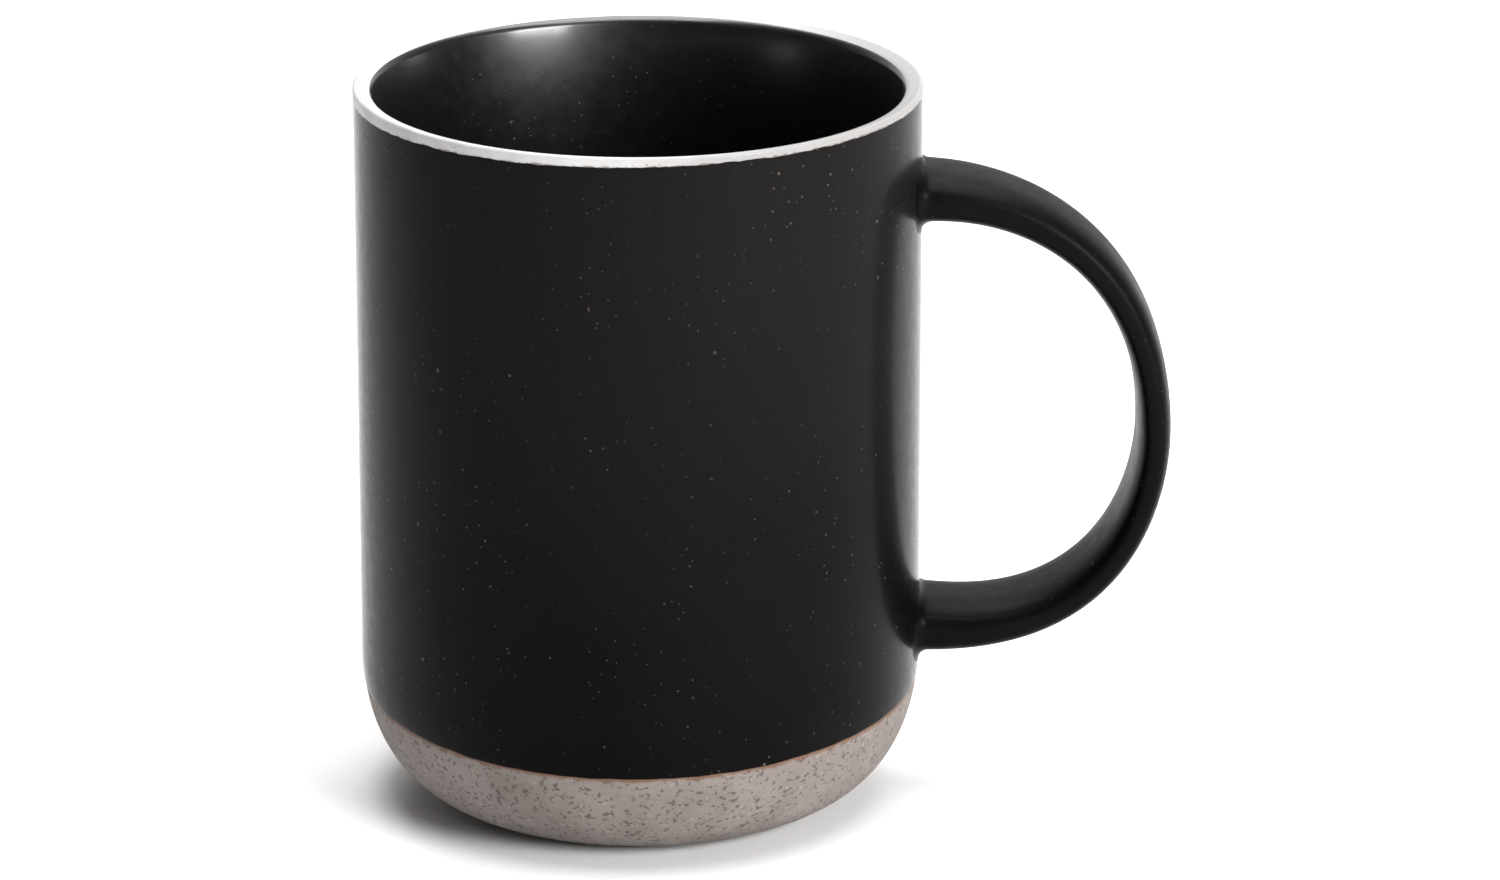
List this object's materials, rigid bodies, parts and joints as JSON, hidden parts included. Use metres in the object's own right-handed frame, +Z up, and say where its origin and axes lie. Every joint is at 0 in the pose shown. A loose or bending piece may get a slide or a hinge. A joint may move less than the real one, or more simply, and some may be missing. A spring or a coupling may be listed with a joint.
{
  "type": "ceramic mug",
  "caption": "Straight-sided stoneware mug with a rounded bare foot, dark glaze outside and in, a pale lip and an oval strap handle luted to one side.",
  "frame": {"origin": "middle of the flat foot, on the axis of the round wall", "axes": "+Z up along the mug's axis, +X towards the handle, which lies in the XZ plane"},
  "size_m": [0.1235, 0.0856, 0.112],
  "materials": {
    "bare_stoneware": "matte",
    "black_glaze": "satin",
    "white_glaze": "satin"
  },
  "bodies": {
    "root": {"clay_vessel": "bare_stoneware", "outer_glaze": "black_glaze", "liner_glaze": "black_glaze", "white_lip": "white_glaze", "handle": "bare_stoneware", "handle_glaze": "black_glaze", "upper_handle_joint": "black_glaze", "lower_handle_joint": "black_glaze"}
  },
  "joints": []
}
